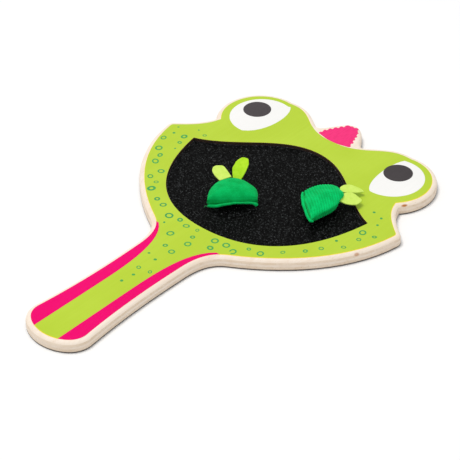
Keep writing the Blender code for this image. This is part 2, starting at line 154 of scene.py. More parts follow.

# Each bag: its place, turn and length, the height of its ribs, the fullness of its shoulder, its loose end of
# thread, and the pushes in millimetres: where, how far round, and which way
BAGS = {
    "bag_left": {
        "place": (-0.0001, 0.0200), "turn": 42.5, "length": 0.0217, "ribs": 0.00002, "shoulder": 0.0,
        "tail": ((-0.0174, -0.0014, 0.0018), (-0.0164, -0.0011, 0.0029)),
        "pushes": (((13.0, 8.0, 5.5), 9.0, (1.0, 0.4, 0.5)),),
    },
    "bag_right": {
        "place": (0.0365, 0.0470), "turn": -39.0, "length": 0.0230, "ribs": 0.00013, "shoulder": 0.0012,
        "tail": (),
        "pushes": (
            ((-10.0, 4.0, 8.0), 11.0, (0.6, 0.6, -2.2)), ((-1.0, 21.0, 7.5), 8.0, (0.0, 0.8, 0.9)),
            ((14.5, 1.0, 4.5), 5.0, (0.5, -0.6, 0.3)), ((-15.0, 0.0, 4.0), 5.0, (1.3, 0.8, 0.0)),
            ((-11.0, 13.0, 9.0), 8.0, (1.0, 0.2, -0.9)), ((-4.0, 22.5, 8.0), 5.0, (0.0, 0.8, 0.3)),
            ((3.0, 22.5, 5.0), 6.0, (-0.2, -1.3, 0.0)), ((-6.0, -1.0, 4.5), 10.0, (0.0, -0.8, 0.0)),
            ((6.0, -1.0, 4.5), 10.0, (0.0, -0.8, 0.0)), ((15.0, 9.0, 4.0), 10.0, (-0.9, 0.0, 0.3)),
        ),
    },
}

# Each hem, point by point: share of its length, height of its middle, stretch outwards, and how wide it is
HEMS = {
    "bag_left": (
        (-0.49, 0.0029, 0.0002, 0.8), (-0.42, 0.0025, 0.0, 1.25), (-0.32, 0.0025, 0.0002, 1.3),
        (-0.20, 0.0031, 0.0, 1.1), (-0.08, 0.0039, 0.0001, 1.0), (0.05, 0.0045, 0.0, 0.95),
        (0.18, 0.0047, 0.0002, 0.85), (0.30, 0.0045, 0.0, 0.9), (0.40, 0.0043, 0.0002, 0.9),
        (0.45, 0.0036, 0.0004, 1.4), (0.475, 0.0028, 0.0003, 1.5),
    ),
    "bag_right": (
        (-0.455, 0.0044, -0.0012, 0.9), (-0.37, 0.0044, -0.0004, 1.1), (-0.23, 0.0044, 0.0002, 1.2),
        (-0.12, 0.0042, 0.0006, 1.2), (0.10, 0.0040, 0.0007, 1.2), (0.31, 0.0040, 0.0006, 1.2),
        (0.43, 0.0041, 0.0002, 1.15), (0.50, 0.0043, -0.0005, 1.1), (0.52, 0.0046, -0.0016, 0.9),
    ),
}

# Each felt leaf: its bag, heading from the nose, pitch, twist, curl up at the tip, cupping, tone, cut outline
LEAVES = {
    "bag_left_leaf_left": {
        "bag": "bag_left", "heading": -30.0, "pitch": 8.0, "twist": 0.0, "curl": 0.0002, "cup": 0.0003,
        "finish": "yellow_felt", "outline": (
            (-3.5, 0.4), (-4.0, 6.1), (-3.2, 10.3), (-1.1, 12.9), (1.4, 13.3), (4.4, 11.7),
            (5.3, 10.0), (5.2, 5.6), (4.9, 0.2)),
    },
    "bag_left_leaf_right": {
        "bag": "bag_left", "heading": 22.0, "pitch": 48.0, "twist": 0.0, "curl": -0.0005, "cup": 0.0007,
        "finish": "lime_felt", "outline": (
            (-3.7, 0.3), (-5.0, 4.6), (-5.2, 6.7), (-4.6, 8.6), (-4.1, 10.6), (-2.7, 12.6), (-1.2, 13.9),
            (0.4, 14.3), (2.9, 13.9), (4.0, 11.7), (4.3, 10.0), (3.7, 6.2), (2.6, 2.4), (1.8, 0.3)),
    },
    "bag_right_leaf_left": {
        "bag": "bag_right", "heading": 5.0, "pitch": -8.0, "twist": 8.0, "curl": -0.0004, "cup": 0.0004,
        "finish": "yellow_felt", "outline": (
            (-1.2, -0.6), (-3.4, 2.1), (-4.0, 5.7), (-3.1, 8.9), (-1.8, 11.9), (0.9, 14.4),
            (2.0, 11.7), (3.0, 8.3), (3.3, 5.0), (3.3, 2.6), (3.0, -0.8)),
    },
    "bag_right_leaf_right": {
        "bag": "bag_right", "heading": 4.0, "pitch": -8.0, "twist": 15.0, "curl": 0.0003, "cup": 0.0006,
        "finish": "yellow_felt", "outline": (
            (1.6, -3.0), (-1.2, -1.5), (-3.3, 0.0), (-4.1, 2.2), (-4.0, 5.5), (-2.7, 7.9), (0.9, 11.1),
            (2.5, 10.8), (5.6, 7.6), (5.8, 4.4), (4.9, 1.2), (3.6, -1.4), (2.6, -3.0)),
    },
}

# Lamp and camera
LAMP_PLACE = (-0.42, -0.40, 2.45)
LAMP_SIZE = 0.9
LAMP_POWER = 28.5
CAMERA_AIM = Vector((0.01458, 0.00137, 0.0075))
CAMERA_DISTANCE = 1.040
CAMERA_LENS = 135.26


# Drawing

def stroke(start, start_pull, end_pull, end):
    return [(Vector(start), Vector(start_pull), Vector(end_pull), Vector(end))]


def straight(start, end):
    third = (Vector(end) - Vector(start)) / 3
    return stroke(start, third, -third, end)


def round_stroke(centre, radius, start, end):
    """A circular stroke from one angle to another, in pieces of at most 70 degrees."""
    count = math.ceil(abs(end - start) / 70.0)
    step = math.radians(end - start) / count
    pull = 4.0 / 3.0 * math.tan(step / 4.0) * radius
    strokes = []
    for index in range(count):
        angle = math.radians(start) + index * step
        ends = [Vector((math.cos(turn), math.sin(turn))) for turn in (angle, angle + step)]
        pulls = [Vector((-end.y, end.x)) * pull for end in ends]
        places = [Vector(centre) + end * radius for end in ends]
        strokes.append((places[0], pulls[0], -pulls[1], places[1]))
    return strokes


def mirror(strokes):
    """The same strokes on the other side of the middle line, drawn backwards."""
    return [tuple(Vector((-point.x, point.y)) for point in reversed(one)) for one in reversed(strokes)]


def on_side(strokes, side):
    return strokes if side > 0 else mirror(strokes)


def points_on(strokes, steps=12):
    """Points along the strokes, in millimetres."""
    points = []
    for start, start_pull, end_pull, end in strokes:
        points += interpolate_bezier(start, start + start_pull, end + end_pull, end, steps)[:-1]
    return [point.to_2d() for point in points]


def board_edge():
    half = (
        stroke((0.0, 142.2), (5.8, 0.0), (-3.5, 5.4), (14.0, 129.0))
        + stroke((14.0, 129.0), (2.2, -3.4), (-3.5, -2.7), (21.5, 126.3))
        + stroke((21.5, 126.3), (9.4, 6.6), (-13.4, 1.6), (50.441, 137.182))
        + round_stroke((54.0, 108.2), 29.2, 97.0, -41.7)
        + stroke((75.802, 88.775), (2.1, -7.7), (-10.5, 8.5), (93.102, 67.318))
        + round_stroke((89.2, 62.5), 6.2, 51.0, -9.3)
        + stroke((95.318, 61.498), (-6.0, -37.0), (30.4, 17.3), (31.7, -20.2))
        + stroke((31.7, -20.2), (-8.7, -5.0), (0.0, 14.0), (20.1, -47.6))
        + stroke((20.1, -47.6), (-0.8, -25.6), (-2.9, 25.9), (22.8, -124.7))
        + stroke((22.8, -124.7), (0.2, -12.0), (9.8, 0.0), (0.0, -142.2))
    )
    return half + mirror(half)


def moved(strokes, shift):
    return [(start + shift, start_pull, end_pull, end + shift) for start, start_pull, end_pull, end in strokes]


def mouth_edge():
    """The mouth, cut a little fuller on the right than on the left."""
    jaw = stroke((71.6, 61.4), (-7.1, -39.5), (44.1, 0.0), (0.0, -7.8))
    right = stroke((0.0, 100.4), (29.0, 0.0), (-25.4, 9.8), (71.6, 61.4))
    left = stroke((0.0, 100.4), (29.0, 0.0), (-28.2, 9.9), (71.6, 61.4))
    return moved(right + jaw + mirror(left + jaw), MOUTH_SHIFT)


def white_edge(side):
    outer = round_stroke((54.0, 109.5), 20.7 if side > 0 else 21.2, 105.0, -94.0)
    inner = stroke(outer[-1][3], (-8.5, 6.0), (-5.2, -8.5), outer[0][0])
    if side < 0:
        corner = (46.9, 130.6)
        inner = stroke(outer[-1][3], (-13.6, 7.5), (-8.0, -7.6), corner) + straight(corner, outer[0][0])
    return on_side(outer + inner, side)


def pupil_edge(side):
    centre = (54.0, 116.0) if side > 0 else (-61.8, 114.0)
    return round_stroke(centre, 9.3, 0.0, 360.0)


def stripe_area(side):
    """One handle stripe: its inner edge as printed, its outer side well outside the handle."""
    start = (22.6, -20.5) if side > 0 else (24.0, -21.2)
    area = (
        stroke(start, (-14.4, -11.0), (0.0, 16.8), (9.0, -80.5))
        + stroke((9.0, -80.5), (0.0, -18.6), (0.0, 18.5), (9.3, -145.1))
        + straight((9.3, -145.1), (46.8, -145.1))
        + straight((46.8, -145.1), (46.8, -21.2))
        + straight((46.8, -21.2), start)
    )
    return moved(on_side(area, side), STRIPE_SHIFT)


def brow_area():
    """What lies above the green ink's upper edge, between the eyes."""
    half = (
        stroke((0.0, 116.4), (13.5, 0.0), (-9.9, -7.9), (30.0, 128.6))
        + straight((30.0, 128.6), (30.0, 145.1))
        + straight((30.0, 145.1), (0.0, 145.1))
    )
    return half + mirror(half)


def crest_edge():
    """The pink crest: smooth along the brow, scalloped along both flanks."""
    flank = (
        (11.3, 118.4), (12.1, 120.9), (10.4, 122.9), (11.3, 124.9), (8.9, 126.6), (9.7, 128.5), (7.8, 130.2),
        (8.7, 132.0), (6.1, 134.2), (6.7, 135.8), (4.3, 137.1), (1.8, 139.5), (-2.0, 138.4), (-4.9, 136.0),
        (-4.5, 134.5), (-7.1, 133.0), (-6.7, 131.3), (-9.2, 129.7), (-8.8, 128.0), (-11.0, 126.3),
        (-10.5, 124.7), (-12.5, 122.9), (-11.8, 121.3), (-12.7, 118.8),
    )
    strokes = stroke((0.0, 116.4), (5.0, 0.0), (-4.0, -0.8), flank[0])
    for index in range(len(flank) - 1):
        start, end = Vector(flank[index]), Vector(flank[index + 1])
        out = Vector((end - start).yx) * 0.5
        out.y = -out.y
        along = (end - start) / 3
        strokes += stroke(start, along + (-out if index % 2 else out), out - along, end)
    return strokes + stroke(flank[-1], (4.0, -0.8), (-5.0, 0.0), (0.0, 116.4))


# Modelling

def pick(*pieces):
    """Select these pieces and no others. The last one is the active one."""
    bpy.ops.object.select_all(action="DESELECT")
    for piece in pieces:
        piece.select_set(True)
    bpy.context.view_layer.objects.active = pieces[-1]


@contextmanager
def editing(piece, mode="VERT"):
    pick(piece)
    bpy.ops.object.mode_set(mode="EDIT")
    bpy.ops.mesh.select_mode(type=mode)
    bpy.ops.mesh.select_all(action="SELECT")
    yield
    bpy.ops.object.mode_set(mode="OBJECT")


def close_up(piece):
    """Merge the doubled points and turn every face outwards."""
    with editing(piece):
        bpy.ops.mesh.remove_doubles(threshold=0.000002)
        bpy.ops.mesh.normals_make_consistent(inside=False)
    return piece


def delete_where(piece, kind, rule):
    """Delete the points or the faces that the rule holds for."""
    with editing(piece, kind):
        bpy.ops.mesh.select_all(action="DESELECT")
    for item in piece.data.vertices if kind == "VERT" else piece.data.polygons:
        item.select = rule(item)
    pick(piece)
    bpy.ops.object.mode_set(mode="EDIT")
    bpy.ops.mesh.delete(type=kind)
    bpy.ops.object.mode_set(mode="OBJECT")
    return piece


def apply_place(piece):
    pick(piece)
    bpy.ops.object.transform_apply(location=True, rotation=True, scale=True)
    return piece


def use(piece, kind, **settings):
    """Add a modifier, set it, and apply it."""
    pick(piece)
    modifier = piece.modifiers.new(kind.lower(), kind)
    for name, value in settings.items():
        setattr(modifier, name, value)
    bpy.ops.object.modifier_apply(modifier=modifier.name)
    return piece


def copy_of(piece, name):
    pick(piece)
    bpy.ops.object.duplicate()
    bpy.context.object.name = name
    return bpy.context.object


def joined(pieces, name):
    pick(*pieces)
    bpy.ops.object.join()
    bpy.context.object.name = name
    return apply_place(bpy.context.object)


def shade(piece):
    """Smooth the rounds and keep the flats flat."""
    pick(piece)
    bpy.ops.object.shade_smooth_by_angle(angle=math.radians(35.0))
    return use(piece, "WEIGHTED_NORMAL", keep_sharp=True)


def smooth(piece):
    """Smooth all of a soft piece."""
    pick(piece)
    bpy.ops.object.shade_smooth()
    return piece


def remesh(piece, voxel):
    """Mesh a closed piece anew, evenly, with faces of about this size."""
    piece.data.remesh_voxel_size = voxel
    pick(piece)
    bpy.ops.object.voxel_remesh()
    return piece


def disc(name, corners, radius):
    """A flat disc at the origin."""
    bpy.ops.object.select_all(action="DESELECT")
    bpy.ops.mesh.primitive_circle_add(vertices=corners, radius=radius, fill_type="NGON",
                                      location=(0.0, 0.0, 0.0))
    bpy.context.object.name = name
    return bpy.context.object


def new_curve(name, dimensions, steps, count):
    """A curve with this many points, which are still to be placed."""
    bpy.ops.object.select_all(action="DESELECT")
    bpy.ops.curve.primitive_bezier_curve_add(location=(0.0, 0.0, 0.0))
    piece = bpy.context.object
    piece.name = name
    piece.data.dimensions = dimensions
    piece.data.resolution_u = steps
    spline = piece.data.splines[0]
    spline.bezier_points.add(count - len(spline.bezier_points))
    return piece, spline


def meshed(curve):
    """The curve as a closed mesh."""
    pick(curve)
    bpy.ops.object.convert(target="MESH")
    return close_up(apply_place(bpy.context.object))


def drawn_curve(name, strokes, steps):
    """A closed flat curve along the strokes."""
    piece, spline = new_curve(name, "2D", steps, len(strokes))
    spline.use_cyclic_u = True
    for index, point in enumerate(spline.bezier_points):
        start, start_pull, _, _ = strokes[index]
        _, _, end_pull, end = strokes[index - 1]
        point.handle_left_type = point.handle_right_type = "FREE"
        point.co = start.to_3d() / 1000
        point.handle_right = (start + start_pull).to_3d() / 1000
        point.handle_left = (end + end_pull).to_3d() / 1000
    return piece


def flat_piece(name, strokes, bottom, top, grow=0.0, rounding=0.0, steps=12):
    """A closed flat solid cut to the strokes, grown sideways, with rounded edges where they are asked for."""
    piece = drawn_curve(name, strokes, steps)
    piece.data.fill_mode = "BOTH"
    piece.data.extrude = (top - bottom) / 2 - rounding
    piece.data.bevel_depth = rounding
    piece.data.bevel_resolution = 5 if rounding > 0.001 else 1
    piece.data.offset = grow - rounding
    piece.location.z = (bottom + top) / 2
    return meshed(piece)


def cut(piece, tool, operation="DIFFERENCE"):
    """Cut a piece with another. The walls of the cut take the tool's material."""
    return use(piece, "BOOLEAN", operation=operation, solver="EXACT", material_mode="TRANSFER", object=tool)


def saw_level(height, **side):
    """Saw the piece that is being edited level at a height, and clear one side of the cut."""
    bpy.ops.mesh.bisect(plane_co=(0.0, 0.0, height), plane_no=(0.0, 0.0, 1.0), use_fill=True, **side)


def throw_away(*tools):
    for tool in tools:
        bpy.data.objects.remove(tool)


def paint(piece, finish):
    piece.data.materials.clear()
    piece.data.materials.append(finish)
    return piece


def settle(piece, body="paddle", stands_for=()):
    """Put a finished piece on its body, and hide the CAD nodes that it stands for."""
    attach(piece, body)
    if stands_for:
        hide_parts(*stands_for)
    return piece


# Finishes

def ink(red, green, blue):
    """A colour as it is printed, 0 to 255 a channel, as the renderer counts light."""
    levels = [level / 255 for level in (red, green, blue)]
    return (*[c / 12.92 if c <= 0.04045 else ((c + 0.055) / 1.055) ** 2.4 for c in levels], 1.0)


def new_finish(name, roughness, **sockets):
    """A material with its shader's single values set on the shader itself."""
    finish = bpy.data.materials.new(name)
    finish.use_nodes = True
    shader = finish.node_tree.nodes["Principled BSDF"]
    shader.inputs["Roughness"].default_value = roughness
    for socket, value in sockets.items():
        shader.inputs[socket.replace("_", " ")].default_value = value
    return finish


def node(finish, kind, values=(), **settings):
    """A new node of a finish. Its inputs take values: numbers, colours, or what other nodes give."""
    made = finish.node_tree.nodes.new("ShaderNode" + kind)
    for name, value in settings.items():
        setattr(made, name, value)
    for key, value in values.items() if isinstance(values, dict) else enumerate(values):
        if isinstance(value, bpy.types.NodeSocket):
            finish.node_tree.links.new(value, made.inputs[key])
        else:
            made.inputs[key].default_value = value
    return made


def colour_mix(finish, amount, first, second):
    return node(finish, "Mix", {0: amount, 6: first, 7: second}, data_type="RGBA").outputs[2]


def own_place(finish):
    """Where each point of the piece is, in the piece's own coordinates."""
    return node(finish, "TexCoord").outputs["Object"]


def stretched(finish, scale=(1.0, 1.0, 1.0)):
    """The piece's own coordinates, multiplied by a scale for each direction."""
    return node(finish, "Mapping", {"Vector": own_place(finish), "Scale": scale}).outputs[0]


def speckle(finish, place, scale, detail=3.0, roughness=0.55, distortion=0.0):
    values = {"Vector": place, "Scale": scale, "Detail": detail, "Roughness": roughness,
              "Distortion": distortion}
    return node(finish, "TexNoise", values).outputs[0]


def between(finish, value, low, high, to_low=0.0, to_high=1.0):
    """A value's stretch from low to high, spread from to_low to to_high and clamped."""
    values = {"Value": value, "From Min": low, "From Max": high, "To Min": to_low, "To Max": to_high}
    return node(finish, "MapRange", values, interpolation_type="SMOOTHSTEP").outputs[0]


def maths(finish, kind, *values):
    return node(finish, "Math", values, operation=kind).outputs[0]


def sum_of(finish, first, second):
    return maths(finish, "ADD", first, second)


def times(finish, value, factor):
    return maths(finish, "MULTIPLY", value, factor)


def connect(finish, colour=None, roughness=None, height=None, depth=0.0001, strength=0.5):
    """Bring the colour, the roughness and the relief to the shader."""
    links = finish.node_tree.links
    shader = finish.node_tree.nodes["Principled BSDF"]
    if colour is not None:
        links.new(colour, shader.inputs["Base Color"])
    if roughness is not None:
        links.new(roughness, shader.inputs["Roughness"])
    if height is not None:
        relief = node(finish, "Bump", {"Height": height, "Distance": depth, "Strength": strength})
        links.new(relief.outputs[0], shader.inputs["Normal"])
    return finish


def veneer(name, light, dark, grain_across, pores=0.5, painted_shadow=False):
    """Sanded pale plywood. The grain runs along Y, or along X in a cross ply. A shadow is painted along the
    foot of the back's edge.
    """
    finish = new_finish(name, 0.55, Specular_IOR_Level=0.3)
    long_way = (22.0, 700.0, 700.0) if grain_across else (700.0, 22.0, 700.0)
    figure = speckle(finish, stretched(finish, tuple(value / 3.5 for value in long_way)), 1.0, 4.0, 0.6, 0.8)
    fibres = speckle(finish, stretched(finish, long_way), 1.6, 3.0, 0.65)
    pits = speckle(finish, stretched(finish, tuple(value * 2.4 for value in long_way)), 1.0, 1.0)
    pore = between(finish, pits, 0.66, 0.74)
    tone = colour_mix(finish, between(finish, figure, 0.32, 0.70), light, dark)
    tone = colour_mix(finish, times(finish, between(finish, fibres, 0.35, 0.75), 0.45), tone, dark)
    tone = colour_mix(finish, times(finish, pore, pores), tone, ink(196, 160, 120))
    for place, turn, reach, strength in KNOTS:
        beside = node(finish, "VectorMath", (own_place(finish), place), operation="SUBTRACT").outputs[0]
        turned = node(finish, "VectorRotate", {"Vector": beside, "Angle": -turn}, rotation_type="Z_AXIS")
        inverse = [1 / one for one in reach]
        squeezed = node(finish, "VectorMath", (turned.outputs[0], inverse), operation="MULTIPLY")
        away = node(finish, "VectorMath", (squeezed.outputs[0],), operation="LENGTH").outputs[1]
        ragged = sum_of(finish, away, times(finish, figure, 0.5))
        tone = colour_mix(finish, between(finish, ragged, 0.6, 1.3, strength, 0.0), tone, ink(192, 120, 56))
    # Painted shadow along the foot of the edge, where the bat meets the table
    if painted_shadow:
        height = node(finish, "SeparateXYZ", (own_place(finish),)).outputs[2]
        tone = colour_mix(finish, between(finish, height, SHADOW_PAINTED_TO, SHADOW_GONE_FROM, 1.0, 0.0), tone, ink(58, 56, 60))
    relief = sum_of(finish, fibres, times(finish, pore, -0.6))
    return connect(finish, tone, between(finish, fibres, 0.3, 0.8, 0.48, 0.66), relief, 0.00006)


def printed(name, colour, shade_colour, roughness=0.42, shine=0.18):
    """Satin screen ink on sanded wood: the grain shows faintly through it."""
    finish = new_finish(name, roughness, Specular_IOR_Level=shine)
    grain = speckle(finish, stretched(finish, (520.0, 18.0, 520.0)), 1.0, 3.0, 0.6, 0.5)
    dots = speckle(finish, stretched(finish), 2600.0, 1.0)
    cloud = speckle(finish, stretched(finish), 24.0, 2.0)
    uneven = sum_of(finish, times(finish, grain, 0.4), cloud)
    tone = colour_mix(finish, between(finish, uneven, 0.50, 0.90), colour, shade_colour)
    relief = sum_of(finish, times(finish, grain, 0.15), times(finish, dots, 0.25))
    rough = between(finish, dots, 0.3, 0.7, roughness - 0.04, roughness + 0.08)
    return connect(finish, tone, rough, relief, 0.00004, 0.35)


def crest_ink():
    """The crest's pink, with the faint slanting streaks of a dry brush."""
    finish = new_finish("crest_pink", 0.45, Specular_IOR_Level=0.18)
    place = node(finish, "Mapping", {
        "Vector": own_place(finish), "Rotation": (0.0, 0.0, math.radians(38.0)), "Scale": (900.0, 160.0, 400.0),
    }).outputs[0]
    streaks = speckle(finish, place, 1.0, 2.0, 0.5)
    tone = colour_mix(finish, between(finish, streaks, 0.40, 0.68), ink(250, 44, 126), ink(244, 36, 118))
    return connect(finish, tone, None, streaks, 0.00004, 0.3)


def scorched():
    """The walls of the mouth, browned by the cutting beam."""
    finish = new_finish("scorched_cut", 0.7)
    smoke = speckle(finish, stretched(finish), 900.0, 3.0)
    tone = colour_mix(finish, between(finish, smoke, 0.3, 0.7), ink(26, 15, 10), ink(66, 40, 24))
    return connect(finish, tone, None, smoke, 0.0001)


def hook_fabric(name, dark, pale, speck):
    """Black nylon: matt in the weave, with pale specks where a filament catches the light."""
    finish = new_finish(name, 0.55, Specular_IOR_Level=0.04)
    fine = speckle(finish, stretched(finish), 1500.0, 2.0)
    patches = speckle(finish, stretched(finish), 850.0, 1.0)
    tone = colour_mix(finish, between(finish, patches, 0.46, 0.62), dark, pale)
    tone = colour_mix(finish, between(finish, sum_of(finish, fine, patches), 1.16, 1.26), tone, speck)
    return connect(finish, tone, between(finish, fine, 0.35, 0.7, 0.62, 0.38), fine, 0.0001)


def knit(name, light, dark, rib_groove_shade=0.0):
    """Green jersey. Its ribs run along the hem, and each is made of small slanting stitches. The grooves
    between the ribs are darkened with painted shade.
    """
    finish = new_finish(name, 0.88, Specular_IOR_Level=0.06, Sheen_Weight=0.18, Sheen_Roughness=0.4)
    finish.node_tree.nodes["Principled BSDF"].inputs["Sheen Tint"].default_value = ink(120, 235, 150)
    place = node(finish, "UVMap", uv_map="fabric").outputs[0]
    across, along = node(finish, "SeparateXYZ", (place,)).outputs[:2]
    slant = maths(finish, "PINGPONG", across, STITCH_WIDTH)
    height = sum_of(finish, along, times(finish, slant, 0.9))
    stitch = maths(finish, "SINE", times(finish, height, 2 * math.pi / STITCH_PITCH))
    fluff = speckle(finish, stretched(finish), 3200.0, 3.0)
    worn = speckle(finish, stretched(finish), 170.0, 3.0)
    # Painted shade: the colour darkens in the grooves between the ribs, by the given amount
    row = maths(finish, "COSINE", times(finish, along, 2 * math.pi / RIB_PITCH))
    groove_painted_shade = times(finish, row, -rib_groove_shade)
    stitched = times(finish, stitch, 0.16)
    row_tone_and_groove_shade = sum_of(finish, stitched, sum_of(finish, sum_of(finish, fluff, worn), groove_painted_shade))
    tone = colour_mix(finish, between(finish, row_tone_and_groove_shade, 0.62, 1.38), light, dark)
    relief = sum_of(finish, times(finish, stitch, 0.35), fluff)
    return connect(finish, tone, None, relief, 0.00009, 0.8)


def felt(name, light, dark):
    """Pressed felt: matt, cloudy and slightly hairy."""
    finish = new_finish(name, 0.92, Specular_IOR_Level=0.1, Sheen_Weight=0.05, Sheen_Roughness=0.5)
    place = stretched(finish)
    hairs = speckle(finish, place, 1400.0, 4.0, 0.7, 1.5)
    cloud = speckle(finish, place, 300.0, 2.0)
    tone = colour_mix(finish, between(finish, sum_of(finish, hairs, cloud), 0.75, 1.3), light, dark)
    return connect(finish, tone, None, hairs, 0.0001, 0.8)


def thread(name, light, dark):
    """Spun sewing thread."""
    finish = new_finish(name, 0.6)
    twist = speckle(finish, stretched(finish), 2500.0, 2.0)
    tone = colour_mix(finish, between(finish, twist, 0.35, 0.65), light, dark)
    return connect(finish, tone, None, twist, 0.00005)


def dried_glue():
    """The thin film under the patch, seen only in the gap round it."""
    finish = new_finish("dried_glue", 0.35)
    cloud = speckle(finish, stretched(finish), 400.0, 2.0)
    tone = colour_mix(finish, between(finish, cloud, 0.3, 0.7), ink(58, 46, 32), ink(36, 28, 20))
    return connect(finish, tone, None, cloud, 0.00005)


# Bat

def build_board():
    """Five plies, the front ones cut from a rounded board, the mouth cut through the two on top."""
    face = veneer("face_veneer", ink(255, 241, 225), ink(248, 229, 208), False, 0.25)
    back = veneer("back_face_veneer", ink(250, 234, 214), ink(240, 218, 192), False, 0.25)
    # Sides of the back ply: veneer with a painted shadow along the foot
    edge = veneer("edge_painted_shadow", ink(246, 229, 207), ink(234, 211, 184), False, 0.25, True)
    cross = veneer("cross_veneer", ink(250, 233, 213), ink(238, 216, 190), True, 0.4)
    plies = (
        ("ply_back_face", "back_veneer", back), ("ply_back_cross", "cross_ply_back", cross),
        ("ply_core", "core_ply", face), ("ply_front_cross", "cross_ply_front", cross),
        ("ply_front_face", "front_veneer", face),
    )
    rounded = flat_piece("rounded_board", board_edge(), 0.0, WOOD_TOP, rounding=EDGE_ROUND, steps=14)
    square = flat_piece("square_board", board_edge(), 0.0, WOOD_TOP, rounding=BACK_ROUND, steps=14)
    beam = flat_piece("beam", mouth_edge(), MOUTH_FLOOR - 2 * GLUE_LINE, WOOD_TOP + PLY, steps=20)
    paint(beam, scorched())
    for index, (name, replaced, finish) in enumerate(plies):
        ply = paint(copy_of(rounded if index > 1 else square, name), finish)
        with editing(ply):
            if index > 0:
                saw_level(index * PLY, clear_inner=True)
            bpy.ops.mesh.select_all(action="SELECT")
            if index < 4:
                saw_level((index + 1) * PLY - GLUE_LINE, clear_outer=True)
        if index > 1:
            cut(ply, beam)
        if index == 0:
            ply.data.materials.append(edge)
            for face_of_ply in ply.data.polygons:
                face_of_ply.material_index = 1 if abs(face_of_ply.normal.z) < 0.8 else 0
        settle(shade(close_up(ply)), stands_for=(replaced,))
    throw_away(rounded, square, beam)


def cutter(strokes, grow=0.0, steps=12):
    """A tool that cuts through the printed films along the strokes."""
    return flat_piece("cutter", strokes, WOOD_TOP - PLY, WOOD_TOP + PLY, grow=grow, steps=steps)


def build_eye(side, label):
    """One printed eye: its white, and the charcoal pupil on it."""
    white = flat_piece("white_film_" + label, white_edge(side), GREEN_TOP, WHITE_TOP)
    paint(white, printed("white_ink_" + label, ink(254, 253, 250), ink(250, 249, 246)))
    settle(white, stands_for=("eye_white_" + label,))
    pupil = flat_piece("pupil_film_" + label, pupil_edge(side), WHITE_TOP, PUPIL_TOP)
    charcoal = (ink(70, 64, 66), ink(64, 58, 60)) if side < 0 else (ink(64, 58, 60), ink(57, 51, 53))
    paint(pupil, printed("charcoal_ink_" + label, *charcoal))
    settle(pupil, stands_for=("pupil_" + label,))


def build_print():
    """The print, in thin films: undercoat, green, pink, white and charcoal."""
    edge, mouth = board_edge(), mouth_edge()
    yellow = printed("yellow_undercoat", ink(255, 232, 78), ink(252, 224, 66))
    green = printed("green_ink", ink(191, 218, 60), ink(186, 213, 52))
    pink = printed("pink_ink", ink(246, 2, 116), ink(242, 0, 110), shine=0.06)
    films = (
        ("undercoat", moved(edge, UNDERCOAT_SHIFT), UNDERCOAT_INSET, WOOD_TOP, UNDERCOAT_TOP,
         UNDERCOAT_MARGIN, yellow, ()),
        ("green_film", edge, INK_INSET, UNDERCOAT_TOP, GREEN_TOP, MOUTH_MARGIN, green, ("green_print",)),
    )
    brow = cutter(brow_area(), steps=16)
    for name, outline, inset, bottom, top, margin, finish, replaced in films:
        film = flat_piece(name, outline, bottom, top, grow=-inset, steps=14)
        hole = cutter(mouth, grow=margin, steps=20)
        cut(film, hole)
        cut(film, brow)
        for side in (-1, 1):
            area = cutter(stripe_area(side), grow=-STRIPE_OVERLAP)
            cut(film, area)
            throw_away(area)
        throw_away(hole)
        settle(paint(close_up(film), finish), stands_for=replaced)
    for side, label in ((-1, "left"), (1, "right")):
        stripe = flat_piece("stripe_film_" + label, edge, WOOD_TOP, PINK_TOP, grow=-STRIPE_INSET, steps=14)
        area = cutter(stripe_area(side))
        cut(stripe, area, "INTERSECT")
        throw_away(area)
        settle(paint(close_up(stripe), pink), stands_for=("handle_stripe_" + label,))
        build_eye(side, label)
    crest = flat_piece("crest_film", crest_edge(), WOOD_TOP, PINK_TOP, steps=6)
    settle(paint(crest, crest_ink()), stands_for=("crest_print",))
    throw_away(brow)


def clear_of(point, points, distance):
    return all((point - other).length > distance for other in points)


def is_inside(point, outline):
    """Whether a straight line from the point crosses the outline an odd number of times."""
    inside = False
    for one, two in zip(outline, outline[1:] + outline[:1]):
        if (one.y > point.y) != (two.y > point.y):
            inside ^= point.x < (two.x - one.x) * (point.y - one.y) / (two.y - one.y) + one.x
    return inside


def spot_places():
    """Spots spread evenly over the jaw, the cheeks and the neck, in millimetres."""
    edge, mouth = points_on(board_edge(), 40), points_on(mouth_edge(), 40)
    stripes = [points_on(stripe_area(side), 40) for side in (-1, 1)]
    places = []
    for index in range(SPOT_TRIES):
        across, along = (0.37 + index * SPOT_STEPS[0]) % 1.0, (0.11 + index * SPOT_STEPS[1]) % 1.0
        point = Vector((across * 188.0 - 94.0, along * 152.0 - 78.0))
        room = 5.2 if point.y < -45.0 else 6.6
        over_lip = point.y > 70.0 and abs(point.x) < 66.0
        if (not over_lip and is_inside(point, edge) and clear_of(point, edge, room)
                and not is_inside(point, mouth) and clear_of(point, mouth, 3.6)
                and clear_of(point, places, SPOT_SPACING)
                and not any(is_inside(point, area) or not clear_of(point, area, 3.0) for area in stripes)):
            places.append(point)
    return places


def spot_model(name, line=0.0, gap=0.0):
    """A flat ring with a line this wide, left open by some degrees, or a dot where it has no line."""
    spot = disc(name, 18, SPOT_RADIUS)
    if line:
        with editing(spot, "FACE"):
            bpy.ops.mesh.inset(thickness=line)
            bpy.ops.mesh.delete(type="FACE")
        open_from = math.pi - math.radians(gap)
        delete_where(spot, "FACE", lambda face: math.atan2(face.center.y, face.center.x) > open_from)
    return use(spot, "SOLIDIFY", thickness=SPOT_TOP - GREEN_TOP, offset=1.0)


